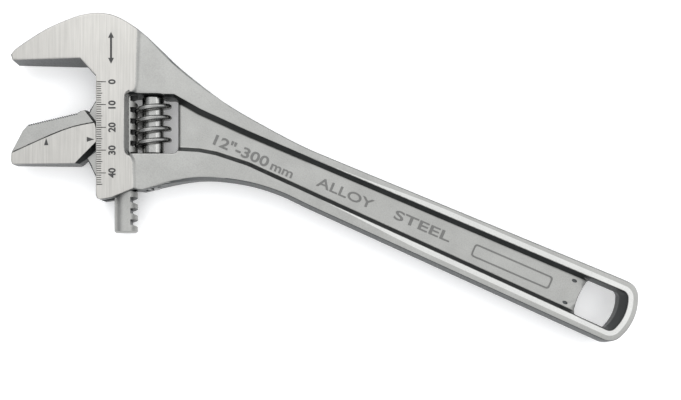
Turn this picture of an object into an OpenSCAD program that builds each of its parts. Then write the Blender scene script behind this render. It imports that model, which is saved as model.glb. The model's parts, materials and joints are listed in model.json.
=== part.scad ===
// Adjustable wrench with a reversible jaw, worm and rack drive, 300 mm class.
// The tool lies on its back, face up. The handle runs along +X and Z is its thickness.
// The head is drawn in its own frame: u across the head, v along the slide towards the
// fixed jaw, with u = 0 on the head's sliding edge and v = 0 on the fixed jaw's gripping face.

/* [Handle] */
// Length from the head's corner to the end of the handle
handle_l = 264.5; // [210:0.5:330]
// Width where the neck runs into the handle
handle_w0 = 24.9; // [20:0.1:30]
// Width at the hang hole
handle_w1 = 30; // [24:0.1:36]
// Thickness at the hang hole
handle_t = 12.4; // [10:0.1:15]
// Length of the neck, from the head's corner to the straight part
neck_l = 112; // [95:1:135]
// Width of the rim round the recess
rim_w = 6; // [4:0.1:7.5]
// Thickness of the web between the two recesses
web_t = 6; // [4:0.1:8]
// Radius of the crowned end
crown_r = 24; // [18:0.5:40]
// Radius of the end's two corners
corner_r = 8; // [5:0.5:11]
// Length of the hang hole
hole_l = 20; // [14:0.5:26]
// Radius of the web's edge at the hang hole
hole_edge_r = 22; // [16:0.5:40]

/* [Head] */
// Angle between the slide and a line square to the handle
head_angle = 23.5; // [15:0.5:30]
// Offset of the head's corner from the handle's centre line
head_offset = 10.4; // [6:0.1:14]
// Height of the head's sliding edge below the gripping face
head_h = 62; // [58:0.5:75]
// Length of the fixed jaw
jaw_l = 38.6; // [32:0.1:46]
// Thickness of the fixed jaw at its tip
tip_t = 10.6; // [8:0.1:13]
// Height of the head above the gripping face
crest_h = 19.9; // [17:0.1:25]
// Step from the head's raised plate down to the neck
plate_step = 1.1; // [0.4:0.1:1.6]
// How far the worm's crest lies below the head's faces
worm_inset = 0.25; // [0.1:0.05:0.6]
// Inner corner's chamfer, measured across the slide
chamfer_u = 6.9; // [5:0.1:9]
// Inner corner's chamfer, measured along the slide
chamfer_v = 7.6; // [5:0.1:9]
// Width of the raised plate over the worm's left side
plate_margin = 5; // [4:0.1:7]
// Corner radius of the worm's window
window_r = 2; // [1:0.1:3]
// Room between the worm and the window's right side
worm_room = 3; // [2:0.1:5]

/* [Slide] */
// Opening that the jaw is set to
opening = 25; // [12:0.5:44]
// Opening where the slide stops on the way in
opening_min = 6.5; // [6.5:0.5:12]
// Distance from the gripping face to the scale's zero
scale_zero = 10.5; // [8:0.5:14]
// Diameter of the round guide bar
guide_d = 10.4; // [8.5:0.1:12.5]
// Wall between the guide bar and the sliding edge
guide_wall = 6.8; // [5.5:0.1:8.5]
// Radial clearance of the guide bar in its bore
guide_gap = 0.1; // [0.05:0.01:0.15]
// Length of the guide bar
guide_l = 67; // [60:0.5:80]
// How far the guide bar runs up past the jaw's pointer
guide_lead = 26; // [22:0.5:30]
// How far the jaw's web runs up past the pointer
web_lead = 18.4; // [15:0.1:22]
// How far the jaw's web runs down past the pointer
web_tail = 16; // [12:0.5:20]
// Room left above the guide bar and the web when the jaw is closed
end_room = 0.5; // [0.3:0.1:1]
// Thickness of the web that joins the jaw to its guide bar
slide_web_t = 6; // [4.5:0.1:7.5]
// Clearance on each side of that web, and of the jaw on the sliding edge
slide_gap = 0.15; // [0.1:0.01:0.25]

/* [Moving jaw] */
// Height of the jaw, from the pipe side's heel to the nut face
jaw_h = 24; // [20:0.5:29]
// Thickness of the jaw at its root
root_t = 14; // [12:0.1:15]
// Thickness of the jaw at its tip
jaw_tip_t = 8.7; // [7:0.1:11]
// Number of serrations on the pipe side
serration_n = 22; // [14:1:30]
// Depth of the serrations
serration_d = 0.45; // [0.2:0.05:0.7]

/* [Worm] */
// Outside diameter of the worm's thread
worm_d = 16.9; // [14:0.1:20.5]
// Diameter of the worm's core
core_d = 9.8; // [8.6:0.1:11]
// Length of the worm
worm_l = 25.9; // [21:0.1:30]
// Distance from the gripping face to the middle of the worm
worm_mid = 28.5; // [26:0.1:31]
// Lead of the single-start thread, and pitch of the rack
pitch = 5; // [4:0.1:6]
// Plain length at each end of the worm, past its thread
collar_l = 0.85; // [0.5:0.05:2]
// Thickness of the thread below its rounded crest
thread_w = 1.9; // [1.4:0.1:2.2]
// Thickness of the thread at its root
thread_root_w = 2.7; // [2.2:0.1:3.4]
// How deep the thread reaches into the rack
mesh_depth = 1.5; // [1:0.1:2.2]
// Depth of the rack's slots
rack_depth = 2.7; // [2.3:0.1:3.2]
// Axial play on each flank between the thread and the rack's slots
flank_gap = 0.35; // [0.25:0.05:0.5]
// Axial play of the worm in its window
end_float = 0.15; // [0.1:0.05:0.3]
// Plain length of the guide bar above its rack
rack_top = 2; // [1:0.1:4]
// Plain length of the guide bar below its rack
rack_tail = 4.2; // [3:0.1:6]

/* [Pin and spring] */
// Diameter of the pin that the worm turns on
pin_d = 4.8; // [4:0.1:5.2]
// Diameter of the pin's threaded end
pin_thread_d = 6.8; // [5.8:0.1:8]
// Radial clearance at the pin's threaded end
thread_gap = 0.03; // [0.02:0.01:0.08]
// Radial clearance of the pin in the worm
pin_gap = 0.06; // [0.03:0.01:0.1]
// Length of the pin's nose in its blind hole
pin_nose_l = 6; // [4:0.5:9]
// Clearance at the end of the pin's nose
nose_room = 0.3; // [0.2:0.1:1]
// Depth of the pin's slotted end in the head's foot
pin_sink = 5; // [3:0.5:8]
// Width of the driver slot
slot_w = 1.2; // [0.8:0.1:1.6]
// Depth of the driver slot
slot_d = 1.4; // [0.8:0.1:2]
// Wire diameter of the spring
wire_d = 0.8; // [0.5:0.05:0.9]
// Length of the spring in its counterbore
spring_l = 5.6; // [4:0.1:8]
// Turns of the spring
spring_turns = 4; // [3:0.5:6]
// Clearance of the spring round the pin
spring_gap = 0.2; // [0.1:0.05:0.3]
// Clearance of the spring in its counterbore
spring_room = 0.3; // [0.2:0.05:0.4]

/* [Hidden] */
$fn = 64;

head_t = worm_d + 2 * worm_inset;
neck_t = head_t - 2 * plate_step;
half_w0 = handle_w0 / 2;
half_w1 = handle_w1 / 2;
pointer_v = -scale_zero - opening;
// The pointer is as far from the nut face as the scale's zero is from the gripping face
nut_face_v = pointer_v - scale_zero;
guide_u = guide_wall + guide_d / 2;
guide_top_v = pointer_v + guide_lead;
guide_end_v = guide_top_v - guide_l;
web_top_v = pointer_v + web_lead;
web_bottom_v = pointer_v - web_tail;
close_travel = opening - opening_min;
worm_u = guide_u + guide_d / 2 + worm_d / 2 - mesh_depth;
window_h = worm_l + 2 * end_float;
window_top_v = -worm_mid + window_h / 2;
window_bottom_v = -worm_mid - window_h / 2;
window_left_u = guide_u + 0.2;
window_right_u = worm_u + worm_d / 2 + worm_room;
plate_edge_u = window_left_u + plate_margin;
pin_end_v = pin_sink - head_h;
thread_turns = (worm_l - 2 * collar_l - thread_root_w) / pitch;
crest_w = 0.55 * thread_w;
crest_shoulder = 1;
crest_edge = 0.25;
lead_angle = atan(pitch / (PI * (worm_d - mesh_depth)));
tooth_mid_v = -worm_mid + pitch / 4;
counterbore_d = pin_d + 2 * (spring_gap + wire_d + spring_room);
web_corner_u = -0.8;
cut_l = 2 * head_h;
overcut = 1;

// A head point [u, v] in the handle's frame
function at_head(p) = [p.x * cos(head_angle) - p.y * sin(head_angle),
                       p.x * sin(head_angle) + p.y * cos(head_angle) + head_offset];
// Points on a circular arc
function arc(c, r, a0, a1, n) = [for (i = [0 : n]) let (a = a0 + (a1 - a0) * i / n)
    c + r * [cos(a), sin(a)]];
// A smooth curve through the inner points of a list; the first and last only set its direction
function smooth(p, n) = [for (i = [1 : len(p) - 3]) for (j = [0 : n - 1]) let (t = j / n)
    (2 * p[i] + (p[i + 1] - p[i - 1]) * t
     + (2 * p[i - 1] - 5 * p[i] + 4 * p[i + 1] - p[i + 2]) * t * t
     + (3 * p[i] - p[i - 1] - 3 * p[i + 1] + p[i + 2]) * t * t * t) / 2];
// A side profile's first point, past a jaw's tip on the straight taper from its root
function past_tip(root_u, root_half, tip_half) =
    let (reach = 20, slope = (root_half - tip_half) / (jaw_l + root_u))
    [-jaw_l - reach, tip_half - slope * reach];
// The crowned end of the handle, or of its recess, from its upper side round to its lower side
function crowned_end(l, half, crown, corner) =
    let (corner_y = half - corner,
         corner_x = l - crown + sqrt(pow(crown - corner, 2) - pow(corner_y, 2)),
         turn = atan2(corner_y, corner_x - l + crown))
    concat(arc([corner_x, corner_y], corner, 90, turn, 8),
           arc([l - crown, 0], crown, turn, -turn, 10),
           arc([corner_x, -corner_y], corner, -turn, -90, 8));

// The back of the fixed jaw, as shares of its length and height
jaw_back = [for (p = [[-1, 0.03], [-0.995, 0.12], [-0.93, 0.256], [-0.78, 0.44], [-0.575, 0.67],
                      [-0.36, 0.84], [-0.157, 0.96]]) at_head([p.x * jaw_l, p.y * crest_h])];
// The head's crest and the upper side of the neck
neck_top = [for (p = [[1.8, crest_h], [9.7, crest_h - 1.8], [19.7, 11.9], [27.7, 4.7],
                      [38.2, -4.8], [56.9, -18.4], [73, -27.9]]) at_head(p)];
// The lower side of the neck, back towards the head
neck_low = [for (p = [[81.5, -59.9], [69.5, -56], [58.5, -54], [48.9, -53.2],
                      [40.7, -53.6], [30.2, -55.3], [18.8, -58]]) at_head(p)];
// The head's foot, measured from the end of the sliding edge
head_foot = [for (p = [[16.4, 4.7], [6.8, 0.8], [1.6, 0], [0.4, 0.5], [0, 1.8]])
             at_head([p.x, p.y - head_h])];
// The recess's mouth at the window, above and below
mouth_top = [for (p = [[34, -16], [45.5, -22.5], [66, -31.8]]) at_head(p)];
mouth_low = [for (p = [[66.5, -46.6], [52.5, -42], [45, -40.6], [34, -40]]) at_head(p)];
// The chamfered inner corner and the gripping face of the fixed jaw
throat = [for (p = [[0, -chamfer_v], [-chamfer_u, 0], [1 - jaw_l, 0]]) at_head(p)];

body_outline = concat(
    smooth(concat(jaw_back, neck_top, [[neck_l - 14, half_w0], [neck_l, half_w0],
                                       [neck_l + 20, half_w0 + 0.3]]), 6),
    crowned_end(handle_l, half_w1, crown_r, corner_r),
    [[neck_l, -half_w0]],
    smooth(concat([[neck_l, -half_w0]], neck_low, [at_head([10, -60])]), 4),
    head_foot, throat);

// The part stands on the head's back, with its origin under the middle of its box
low_x = min([for (p = body_outline) p.x]);
high_y = max([for (p = body_outline) p.y]);
low_y = at_head([guide_u - guide_d / 2, guide_end_v]).y;
origin = [(low_x + handle_l) / 2, (low_y + high_y) / 2, -head_t / 2];

// Everything is drawn about the handle's centre line and the middle of the thickness
module place() {
    translate(-origin) children();
}
// Draws in the head's frame
module in_head() {
    translate([0, head_offset, 0]) rotate(head_angle) children();
}
// A plate of even thickness about the middle plane
module plate(t) {
    translate([0, 0, -t / 2]) linear_extrude(t) children();
}
// A slab seen from the side: half thickness against u, cut square across the slide
module side_profile(half) {
    rotate([90, 0, 0]) linear_extrude(400, center = true)
        polygon(concat(half, [for (i = [len(half) - 1 : -1 : 0]) [half[i].x, -half[i].y]]));
}
// A rod along the slide, from one v to another
module rod(u, d, v0, v1) {
    translate([u, v0, 0]) rotate([-90, 0, 0]) cylinder(d = d, h = v1 - v0);
}
// A tube swept round an axis along the slide, as a thread or a spring
module helix(section, turns, lead, steps) {
    rings = ceil(turns * steps);
    n = len(section);
    spots = [for (i = [0 : rings]) for (s = section)
             let (a = 360 * turns * (i / rings - 0.5), r = s.x)
             [r * sin(a), s.y + lead * a / 360, r * cos(a)]];
    sides = [for (i = [0 : rings - 1]) for (j = [0 : n - 1]) let (k = (j + 1) % n)
             [i * n + j, i * n + k, (i + 1) * n + k, (i + 1) * n + j]];
    polyhedron(spots, concat(sides, [[for (j = [n - 1 : -1 : 0]) j],
                                     [for (j = [0 : n - 1]) rings * n + j]]), convexity = 8);
}

// Recess between the rims, open into the worm's window
module recess() {
    polygon(concat(mouth_top, crowned_end(handle_l - rim_w, half_w1 - rim_w, crown_r - rim_w, 3),
                   mouth_low));
}
// Hang hole: the recess's end, cut through the web
module hang_hole() {
    intersection() {
        recess();
        translate([handle_l - rim_w - hole_l + hole_edge_r, 0]) circle(hole_edge_r);
    }
}
module window() {
    translate([window_left_u, window_bottom_v]) {
        w = window_right_u - window_left_u;
        translate([0, window_r]) square([w, window_h - 2 * window_r]);
        translate([window_r, 0]) square([w - 2 * window_r, window_h]);
        for (x = [window_r, w - window_r], y = [window_r, window_h - window_r])
            translate([x, y]) circle(window_r);
    }
}
// Slot for the jaw's web, open at the head's foot, with room for the jaw to close
module web_slot() {
    top = web_top_v + close_travel + end_room;
    lean = [11.2, 17.2];
    outer_u = web_corner_u - lean.x;
    plate(slide_web_t + 2 * slide_gap)
        polygon([[guide_u, top], [web_corner_u, top], [outer_u, top - lean.y], [outer_u, -cut_l],
                 [guide_u, -cut_l]]);
}

module wrench_body() {
    color("silver") place() difference() {
        intersection() {
            plate(head_t + 2 * overcut) polygon(body_outline);
            in_head() side_profile([past_tip(-chamfer_u, head_t / 2, tip_t / 2),
                                    [-chamfer_u, head_t / 2], [plate_edge_u, head_t / 2],
                                    [plate_edge_u + 0.8, neck_t / 2], [45, neck_t / 2],
                                    [100, handle_t / 2 + 0.3], [handle_l, handle_t / 2]]);
        }
        for (side = [-1, 1])
            translate([0, 0, side * (web_t + head_t) / 2]) plate(head_t) recess();
        plate(head_t + 2 * overcut) hang_hole();
        in_head() {
            plate(head_t + 2 * overcut) window();
            rod(guide_u, guide_d + 2 * guide_gap, -cut_l, guide_top_v + close_travel + end_room);
            web_slot();
            rod(worm_u, pin_d + 2 * pin_gap, window_top_v - overcut,
                window_top_v + pin_nose_l + nose_room);
            rod(worm_u, pin_thread_d + 2 * thread_gap, -cut_l, window_bottom_v + overcut);
        }
    }
}

// Points up the serrated pipe side, from the nose to the heel; each notch leans to the nose
function serrations(a, b) = [for (i = [0 : serration_n - 1]) for (k = [0, 1])
    a + (b - a) * (i + 0.5 * k) / serration_n - k * serration_d * [0.3, 1]];

module sliding_jaw() {
    nose = [-jaw_l + 8.2, nut_face_v + jaw_h - 6.4];
    heel = [-8.1, nut_face_v + jaw_h - 1.6];
    // From the nut face up the tip, along the pipe side, and down the sliding edge
    jaw_outline = concat(
        [[0.5 - jaw_l, nut_face_v], [-jaw_l, nut_face_v + 1.6], [0.2 - jaw_l, nut_face_v + 5.1],
         [5.6 - jaw_l, nut_face_v + 15]],
        serrations(nose, heel),
        [heel, [-4.7, nut_face_v + jaw_h], [-slide_gap, nut_face_v + 18], [-slide_gap, nut_face_v + 8],
         [-2, nut_face_v + 8], [-9.7, nut_face_v]]);
    // Down from the jaw to the guide bar, and back up to the web's corner
    web_outline = [[-9, nut_face_v + 6], [-4.9, nut_face_v + 2.2], [-1.2, web_bottom_v],
                   [guide_u, web_bottom_v], [guide_u, web_top_v], [web_corner_u, web_top_v],
                   [-3.6, web_top_v - 4.3], [-9, nut_face_v + 12]];
    color("gainsboro") place() in_head() {
        intersection() {
            plate(root_t) polygon(jaw_outline);
            side_profile([past_tip(-8, root_t / 2, jaw_tip_t / 2), [-8, root_t / 2],
                          [1, root_t / 2]]);
        }
        plate(slide_web_t) polygon(web_outline);
        difference() {
            rod(guide_u, guide_d, guide_end_v, guide_top_v);
            rack_slots();
        }
    }
}
// Slots across the guide bar, inclined with the thread that runs in them
module rack_slots() {
    root_u = guide_u + guide_d / 2 - rack_depth;
    mouth = thread_w / 2 + flank_gap;
    root = crest_w / 2 + flank_gap;
    top = floor((guide_top_v - rack_top - tooth_mid_v) / pitch);
    low = ceil((guide_end_v + rack_tail - tooth_mid_v) / pitch);
    for (i = [low : top])
        translate([root_u, tooth_mid_v + i * pitch, 0]) rotate([-lead_angle, 0, 0])
            plate(2 * guide_d) polygon([[0, -root], [rack_depth, -mouth], [rack_depth + overcut, -mouth],
                                        [rack_depth + overcut, mouth], [rack_depth, mouth], [0, root]]);
}

module worm() {
    crest = worm_d / 2;
    sunk = 0.4;
    flank = [[core_d / 2 - sunk, thread_root_w / 2], [crest - crest_shoulder, thread_w / 2],
             [crest - crest_edge, crest_w / 2]];
    section = concat([for (p = flank) [p.x, -p.y]], [[crest, 0]],
                     [for (i = [2 : -1 : 0]) flank[i]]);
    color("darkgray") place() in_head() difference() {
        union() {
            rod(worm_u, core_d, -worm_mid - worm_l / 2, -worm_mid + worm_l / 2);
            translate([worm_u, -worm_mid, 0]) rotate([0, 180, 0])
                helix(section, thread_turns, pitch, 36);
        }
        rod(worm_u, pin_d + 2 * pin_gap, -worm_mid - worm_l, -worm_mid + worm_l);
        rod(worm_u, counterbore_d, -worm_mid + worm_l / 2 - spring_l, -worm_mid + worm_l);
    }
}

module worm_pin() {
    color("dimgray") place() in_head() difference() {
        union() {
            rod(worm_u, pin_d, window_bottom_v - overcut, window_top_v + pin_nose_l);
            rod(worm_u, pin_thread_d, pin_end_v, window_bottom_v - thread_gap);
        }
        translate([worm_u, pin_end_v, 0])
            cube([slot_w, 2 * slot_d, 2 * pin_thread_d], center = true);
    }
}

module worm_spring() {
    coil_r = pin_d / 2 + spring_gap + wire_d / 2;
    section = [for (i = [0 : 7]) [coil_r, 0] + wire_d / 2 * [cos(45 * i), -sin(45 * i)]];
    lead = (spring_l - wire_d) / spring_turns;
    color("slategray") place() in_head()
        translate([worm_u, -worm_mid + worm_l / 2 - spring_l / 2, 0])
            helix(section, spring_turns, lead, 18);
}

wrench_body();
sliding_jaw();
worm();
worm_pin();
worm_spring();
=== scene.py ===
import bmesh
import bpy
import json
import math
import numpy as np
from mathutils import Matrix, Vector, geometry


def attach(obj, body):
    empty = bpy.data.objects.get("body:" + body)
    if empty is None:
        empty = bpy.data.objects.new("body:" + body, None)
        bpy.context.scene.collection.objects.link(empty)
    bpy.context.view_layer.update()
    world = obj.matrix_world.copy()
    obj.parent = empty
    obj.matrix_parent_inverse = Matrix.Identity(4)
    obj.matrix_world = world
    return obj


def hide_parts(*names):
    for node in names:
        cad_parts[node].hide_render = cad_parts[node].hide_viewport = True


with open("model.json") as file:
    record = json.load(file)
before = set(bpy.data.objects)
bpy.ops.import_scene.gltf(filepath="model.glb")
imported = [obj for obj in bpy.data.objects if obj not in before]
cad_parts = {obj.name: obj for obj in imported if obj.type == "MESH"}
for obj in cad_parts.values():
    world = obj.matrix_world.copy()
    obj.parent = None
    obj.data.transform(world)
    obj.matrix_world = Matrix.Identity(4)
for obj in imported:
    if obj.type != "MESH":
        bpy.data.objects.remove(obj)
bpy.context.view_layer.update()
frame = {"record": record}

# ----------------------------------------
# The forging: fixed jaw, head, neck and handle are one drop forging of chromed steel. Its
# head is ground and brushed, and its handle has a recess between two rims and a hang hole.
# Sizes are in millimetres from the forging's middle plane, up to the floor's section.
# ----------------------------------------
HEAD_TURN = math.radians(23.5)
HEAD_CORNER_Y = 10.4
WORM_U, WORM_V, WORM_LENGTH = 24.15, -28.5, 25.9
PLATE_HALF, NECK_HALF, WEB_HALF = 8.64, 7.6, 3.0
NECK_END, NECK_SIDE, HANDLE_START, HANDLE_SIDE = 112.0, 12.45, 132.0, 12.75
HANDLE_END, END_HALF, END_CROWN, END_CORNER = 264.5, 15.0, 24, 8
WINDOW_LEFT, WINDOW_RIGHT, WINDOW_LOW, WINDOW_TOP = 13.9, 35.6, -41.6, -15.4
RIM, RECESS_CROWN, RECESS_CORNER = 6.0, 18, 3
HOLE_LEFT, HOLE_CURVE, HOLE_INSET = 238.5, 22.0, 0.7
COARSE, FINE = 3.0, 2.0
CURVE_STEPS = 8


def at_head(u, v):
    """A point of the head, across and along the slide, in the handle's directions."""
    return (u * math.cos(HEAD_TURN) - v * math.sin(HEAD_TURN),
            u * math.sin(HEAD_TURN) + v * math.cos(HEAD_TURN) + HEAD_CORNER_Y)


worm_joint = next(j for j in frame["record"]["behaviour"]["joints"] if j["name"] == "worm_spin")
worm_spot = at_head(WORM_U, WORM_V)
IN_HANDLE = (Matrix.Translation(Vector(worm_joint["pos_m"])
                                - Vector((worm_spot[0], worm_spot[1], 0)) * 0.001)
             @ Matrix.Scale(0.001, 4))
IN_HEAD = (IN_HANDLE @ Matrix.Translation((0, HEAD_CORNER_Y, 0))
           @ Matrix.Rotation(HEAD_TURN, 4, "Z"))


def smooth_run(points, steps):
    """A smooth line through the inner points; the first and last only give its direction."""
    p = [np.array(q, float) for q in points]
    run = []
    for i in range(1, len(p) - 2):
        for t in np.arange(steps) / steps:
            run.append((2 * p[i] + (p[i + 1] - p[i - 1]) * t
                        + (2 * p[i - 1] - 5 * p[i] + 4 * p[i + 1] - p[i + 2]) * t * t
                        + (3 * p[i] - p[i - 1] - 3 * p[i + 1] + p[i + 2]) * t ** 3) / 2)
    return [tuple(q) for q in run]


def arc(centre, r, a0, a1, steps):
    """Points on a circular arc, angles in degrees."""
    turns = np.radians(np.linspace(a0, a1, steps + 1))
    return [(centre[0] + r * math.cos(a), centre[1] + r * math.sin(a)) for a in turns]


def crowned_end(end, half, crown, corner, steps=12):
    """The rounded end of the handle, or of its recess, from its upper to its lower side."""
    y = half - corner
    x = end - crown + math.sqrt((crown - corner) ** 2 - y * y)
    turn = math.degrees(math.atan2(y, x - end + crown))
    return (arc((x, y), corner, 90, turn, steps)
            + arc((end - crown, 0), crown, turn, -turn, steps + 6)[1:-1]
            + arc((x, -y), corner, -turn, -90, steps))


def rounded(points, r, closed=True, steps=5):
    """A line with its corners rounded; r is how far each round reaches along its sides."""
    p = [np.array(q, float) for q in points]
    n = len(p)
    out = []
    for i in range(n):
        if not closed and i in (0, n - 1):
            out.append(tuple(p[i]))
            continue
        a, b, c = p[i - 1], p[i], p[(i + 1) % n]
        s = b + (a - b) * min(0.45, r / np.linalg.norm(a - b))
        e = b + (c - b) * min(0.45, r / np.linalg.norm(c - b))
        out += [tuple(s * (1 - t) ** 2 + 2 * b * t * (1 - t) + e * t * t)
                for t in np.linspace(0, 1, steps)]
    return out


def spaced(points, gap, closed=True):
    """The same line with no side longer than gap."""
    out = []
    for i in range(len(points) if closed else len(points) - 1):
        a, b = np.array(points[i]), np.array(points[(i + 1) % len(points)])
        n = max(1, math.ceil(np.linalg.norm(b - a) / gap))
        out += [tuple(a + (b - a) * k / n) for k in range(n)]
    return out if closed else out + [tuple(points[-1])]


def beside(points, d, closed=True):
    """The line moved to its left by d, which is inwards where it runs anticlockwise."""
    p = np.array(points, float)
    back, on = np.roll(p, 1, axis=0), np.roll(p, -1, axis=0)
    if not closed:
        back[0], on[-1] = 2 * p[0] - p[1], 2 * p[-1] - p[-2]
    e0, e1 = p - back, on - p
    e0 /= np.maximum(np.linalg.norm(e0, axis=1, keepdims=True), 1e-9)
    e1 /= np.maximum(np.linalg.norm(e1, axis=1, keepdims=True), 1e-9)
    n0 = np.stack([-e0[:, 1], e0[:, 0]], 1)
    n1 = np.stack([-e1[:, 1], e1[:, 0]], 1)
    m = n0 + n1
    m /= np.maximum((m * n0).sum(1, keepdims=True), 0.6)
    return [tuple(q) for q in p + d * m]


def reach(points, xy, closed=True):
    """Distance from each place to a line, and on which side it lies: +1 is left."""
    a = np.array(points, float)
    b = np.roll(a, -1, axis=0)
    if not closed:
        a, b = a[:-1], b[:-1]
    ab = b - a
    size = np.maximum((ab * ab).sum(1), 1e-12)
    best, side = np.full(len(xy), 1e9), np.ones(len(xy))
    for i in range(0, len(xy), 2000):
        q = xy[i:i + 2000, None, :] - a[None]
        t = np.clip((q * ab).sum(2) / size, 0, 1)
        off = q - t[..., None] * ab
        d = np.sqrt((off ** 2).sum(2))
        k = d.argmin(1)
        rows = np.arange(len(k))
        best[i:i + 2000] = d[rows, k]
        cross = ab[k, 0] * q[rows, k, 1] - ab[k, 1] * q[rows, k, 0]
        side[i:i + 2000] = np.where(cross >= 0, 1, -1)
    return best, side


def inside(points, xy):
    """Which places lie inside a closed line."""
    a = np.array(points, float)
    b = np.roll(a, -1, axis=0)
    hit = np.zeros(len(xy), bool)
    for (x0, y0), (x1, y1) in zip(a, b):
        cross = (y0 > xy[:, 1]) != (y1 > xy[:, 1])
        with np.errstate(divide="ignore", invalid="ignore"):
            hit ^= cross & (xy[:, 0] < (x1 - x0) * (xy[:, 1] - y0) / (y1 - y0) + x0)
    return hit


def ease(x):
    """0 to 1, smooth at both ends."""
    x = np.clip(x, 0, 1)
    return x * x * (3 - 2 * x)


def round_over(d, r):
    """How far a rounded edge of radius r has dropped at a distance d from it."""
    k = 1 - np.clip(d / r, 0, 1)
    return r * (1 - np.sqrt(np.maximum(1 - k * k, 0)))


# the finishes of both forgings, by their place in the list of materials below; the third is a
# painted highlight on the rims and the last is painted shade
BRUSHED, SATIN, PAINTED_HIGHLIGHT, PAINTED_SHADE = range(4)
# steep faces take the painted shade, dark steel standing in for the shade on faces turned from the
# light
STEEP = 0.62  # a face is a steep side when the cosine of its tilt is below this
SAME_SPOT, SLIVER_AREA = 1e-4, 1e-7


def forged_plan(rim, holes, lines, height, finish):
    spots, sides = [], []
    for points, closed in [(rim, True)] + [(h, True) for h in holes] + lines:
        first = len(spots)
        spots += [Vector(q) for q in points]
        ends = len(points) if closed else len(points) - 1
        sides += [(first + i, first + (i + 1) % len(points)) for i in range(ends)]
    flat, _, tris, *_ = geometry.delaunay_2d_cdt(spots, sides, [], 0, SAME_SPOT)
    xy = np.array([tuple(p) for p in flat])
    tri = np.array([t for t in tris if len(t) == 3])
    p0, p1, p2 = xy[tri[:, 0]], xy[tri[:, 1]], xy[tri[:, 2]]
    area = ((p1 - p0)[:, 0] * (p2 - p0)[:, 1] - (p1 - p0)[:, 1] * (p2 - p0)[:, 0]) / 2
    tri[area < 0] = tri[area < 0][:, ::-1]
    mid = xy[tri].mean(1)
    keep = inside(rim, mid) & (np.abs(area) > SLIVER_AREA)
    for h in holes:
        keep &= ~inside(h, mid)
    tri, mid = tri[keep], mid[keep]
    used = np.unique(tri)
    place = -np.ones(len(xy), int)
    place[used] = np.arange(len(used))
    xy, tri = xy[used], place[tri]
    z = height(xy)
    n = len(xy)
    # a side that no neighbour runs the other way along is on the rim or round a hole
    tri_sides = dict.fromkeys(e for a, b, c in tri.tolist() for e in ((a, b), (b, c), (c, a)))
    edges = [e for e in tri_sides if (e[1], e[0]) not in tri_sides]
    verts = np.vstack([np.column_stack([xy, z]), np.column_stack([xy, -z])])
    faces = tri.tolist() + (tri[:, ::-1] + n).tolist()
    faces += [(b, a, a + n, b + n) for a, b in edges]
    look = finish(mid)
    corner = verts[:n][tri]
    # steep faces and every side wall take the painted shade
    up = np.cross(corner[:, 1] - corner[:, 0], corner[:, 2] - corner[:, 0])
    steep = up[:, 2] < STEEP * np.linalg.norm(up, axis=1)
    look = np.where(steep, PAINTED_SHADE, look)
    wall = np.full(len(edges), PAINTED_SHADE)
    mesh = bpy.data.meshes.new("forging")
    mesh.from_pydata(verts.tolist(), [], faces)
    mesh.polygons.foreach_set("material_index", np.concatenate([look, look, wall]).astype(int))
    return mesh


def as_object(name, mesh, materials=(), place=None):
    """Makes a mesh an object of the scene, with its place worked into the mesh."""
    if place is not None:
        mesh.transform(place)
    mesh.name = name
    for m in materials:
        mesh.materials.append(m)
    obj = bpy.data.objects.new(name, mesh)
    bpy.context.scene.collection.objects.link(obj)
    return obj


def settle(obj):
    """Applies an object's modifiers to its mesh."""
    seen = obj.evaluated_get(bpy.context.evaluated_depsgraph_get())
    mesh = bpy.data.meshes.new_from_object(seen)
    mesh.name = obj.name
    obj.modifiers.clear()
    obj.data = mesh
    return obj


def cut_or_join(obj, tool, operation):
    """Cuts a tool's shape out of a piece, or joins it on, and drops the tool."""
    step = obj.modifiers.new(operation, "BOOLEAN")
    step.operation, step.solver, step.object = operation, "MANIFOLD", tool
    settle(obj)
    bpy.data.objects.remove(tool)


def shade(obj, angle=32):
    """Smooth surfaces with crisp edges, with the large faces kept flat."""
    obj.data.polygons.foreach_set("use_smooth", [True] * len(obj.data.polygons))
    obj.data.set_sharp_from_angle(angle=math.radians(angle))
    step = obj.modifiers.new("even", "WEIGHTED_NORMAL")
    step.keep_sharp = True
    return settle(obj)


def turned(profile, name, look=0, steps=64):
    """A solid turned about the head's v direction, from (radius, v) points run upwards."""
    verts, faces = [], []
    for r, v in profile:
        for i in range(steps):
            a = 2 * math.pi * i / steps
            verts.append((r * math.cos(a), v, r * math.sin(a)))
    top = (len(profile) - 1) * steps
    for low in range(0, top, steps):
        for i in range(steps):
            k = (i + 1) % steps
            faces.append((low + i, low + steps + i, low + steps + k, low + k))
    faces += [tuple(range(steps)), tuple(top + i for i in reversed(range(steps)))]
    mesh = bpy.data.meshes.new(name)
    mesh.from_pydata(verts, [], faces)
    mesh.polygons.foreach_set("material_index", [look] * len(faces))
    return mesh


def slab(points, half, name, look=0):
    """A plate of even thickness about the middle plane, from a plan run anticlockwise."""
    n = len(points)
    verts = [(x, y, half) for x, y in points] + [(x, y, -half) for x, y in points]
    faces = [tuple(range(n)), tuple(n + i for i in reversed(range(n)))]
    faces += [((i + 1) % n, i, i + n, (i + 1) % n + n) for i in range(n)]
    mesh = bpy.data.meshes.new(name)
    mesh.from_pydata(verts, [], faces)
    mesh.polygons.foreach_set("material_index", [look] * len(faces))
    return mesh


NOISE_LOW, NOISE_HIGH = 0.3, 0.7
GRAIN_DETAIL, CLOUD_DETAIL, CLOUD_SCALE = 5.0, 3.0, 90.0
RELIEF_DEPTH_M = 0.0002


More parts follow.
